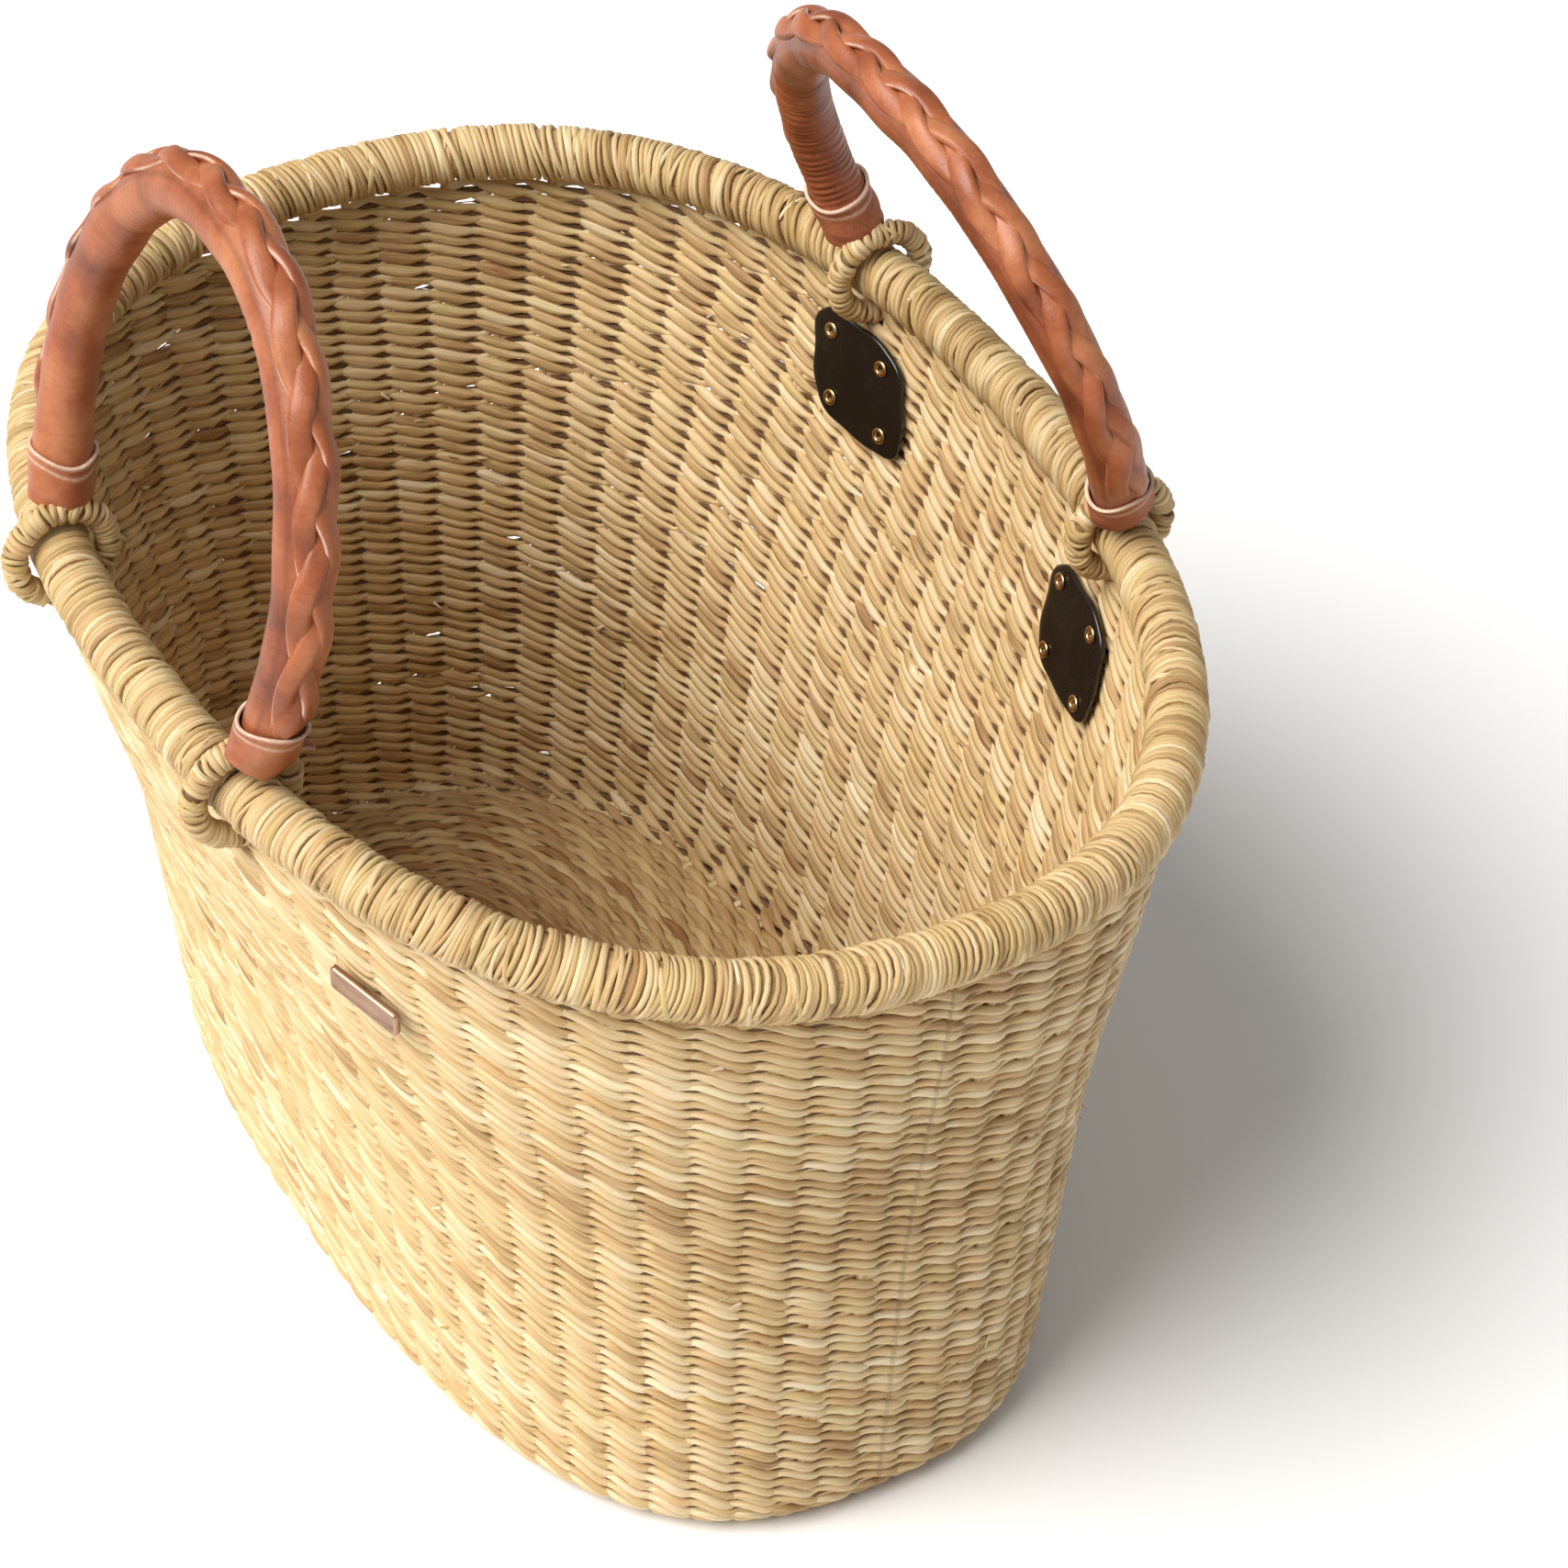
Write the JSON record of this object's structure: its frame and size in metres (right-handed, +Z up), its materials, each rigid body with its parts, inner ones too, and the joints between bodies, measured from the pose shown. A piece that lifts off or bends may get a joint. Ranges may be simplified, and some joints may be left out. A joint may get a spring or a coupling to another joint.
{
  "type": "woven grass pannier basket",
  "caption": "Deep oval basket of twined elephant grass, with a wrapped rim, two hinged leather-covered handles, and black backing plates riveted to rack hooks behind.",
  "frame": {"origin": "middle of the base, on the surface that the basket stands on", "axes": "+X along the basket, +Y towards the bicycle rack and its hooks, +Z up"},
  "size_m": [0.4178, 0.3195, 0.3887],
  "materials": {
    "woven_grass": "twined elephant grass, dry and slightly glossy straw",
    "rim_grass": "closely wrapped pale grass strands",
    "grass_core": "bundled grass",
    "handle_leather": "tan goat leather, satin, wrinkled",
    "black_leather": "black, semi-gloss",
    "hook_steel": "black powder coat",
    "rivet_brass": "polished, slightly worn",
    "label_brass": "cast rose brass, satin"
  },
  "bodies": {
    "basket": {"woven_wall": "woven_grass", "woven_base": "woven_grass", "rim_core": "grass_core", "rim_wrap": "rim_grass", "left_backing_plate": "black_leather", "right_backing_plate": "black_leather", "left_rack_hook": "hook_steel", "right_rack_hook": "hook_steel", "left_rivet_1": "rivet_brass", "left_rivet_2": "rivet_brass", "left_rivet_3": "rivet_brass", "left_rivet_4": "rivet_brass", "right_rivet_1": "rivet_brass", "right_rivet_2": "rivet_brass", "right_rivet_3": "rivet_brass", "right_rivet_4": "rivet_brass", "label_plate": "label_brass"},
    "front_handle": {"front_handle_core": "grass_core", "front_handle_cover": "handle_leather", "front_handle_lacing": "handle_leather", "front_left_cuff": "handle_leather", "front_left_loop": "rim_grass", "front_right_cuff": "handle_leather", "front_right_loop": "rim_grass", "front_right_strap_end": "handle_leather"},
    "rear_handle": {"rear_handle_core": "grass_core", "rear_handle_cover": "handle_leather", "rear_handle_lacing": "handle_leather", "rear_left_cuff": "handle_leather", "rear_left_loop": "rim_grass", "rear_right_cuff": "handle_leather", "rear_right_loop": "rim_grass"}
  },
  "joints": [
    {"name": "front_handle_swing", "type": "hinge", "parent": "basket", "child": "front_handle", "pos_m": [-0.0057, -0.13897, 0.23989], "axis": [0.9998, 0.0032, 0.0186], "range_deg": [-54, 138]},
    {"name": "rear_handle_swing", "type": "hinge", "parent": "basket", "child": "rear_handle", "pos_m": [-0.0048, 0.13734, 0.24009], "axis": [-0.9998, 0.005, 0.0187], "range_deg": [-48, 130]}
  ]
}
